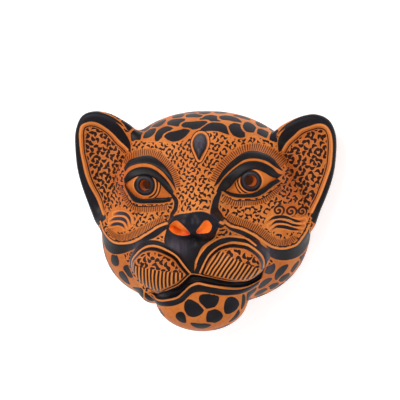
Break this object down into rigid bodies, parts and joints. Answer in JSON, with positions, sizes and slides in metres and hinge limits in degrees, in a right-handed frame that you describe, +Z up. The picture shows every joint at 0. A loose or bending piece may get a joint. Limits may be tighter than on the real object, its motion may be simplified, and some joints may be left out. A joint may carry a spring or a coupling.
{
  "type": "ceramic wild cat head wall mask",
  "caption": "Hollow press-moulded clay head mask of a spotted wild cat with luted ears, eyes, lids, nose, pads and chin, hung on a wall by a pivoting wire bail.",
  "frame": {"origin": "the nail that holds the mask, on the wall plane", "axes": "+Y into the wall, +Z up, +X to the viewer's right; the face looks along -Y"},
  "size_m": [0.2398, 0.105, 0.1955],
  "materials": {
    "orange_clay": "burnished orange earthenware with black slip and fine scratched lines, half gloss",
    "black_slip": "burnished black slip, half gloss, with thin scratched orange lines",
    "raw_clay": "unburnished fired earthenware, matt",
    "steel_wire": "galvanised steel wire, dull"
  },
  "bodies": {
    "mask": {"face_shell": "orange_clay", "ear_left": "orange_clay", "ear_right": "orange_clay", "eyeball_left": "black_slip", "eyeball_right": "black_slip", "upper_eyelid_left": "black_slip", "upper_eyelid_right": "black_slip", "lower_eyelid_left": "black_slip", "lower_eyelid_right": "black_slip", "brow_ridge_left": "black_slip", "brow_ridge_right": "black_slip", "forehead_boss": "black_slip", "nose": "black_slip", "muzzle_pad_left": "orange_clay", "muzzle_pad_right": "orange_clay", "chin": "orange_clay", "lower_lip": "black_slip", "hanger_lug_left": "raw_clay", "hanger_lug_right": "raw_clay"},
    "bail": {"hanging_wire": "steel_wire"}
  },
  "joints": [
    {"name": "wire_hinge", "type": "hinge", "parent": "mask", "child": "bail", "pos_m": [0, -0.014, -0.013], "axis": [1, 0, 0], "range_deg": [-15, 140]}
  ]
}
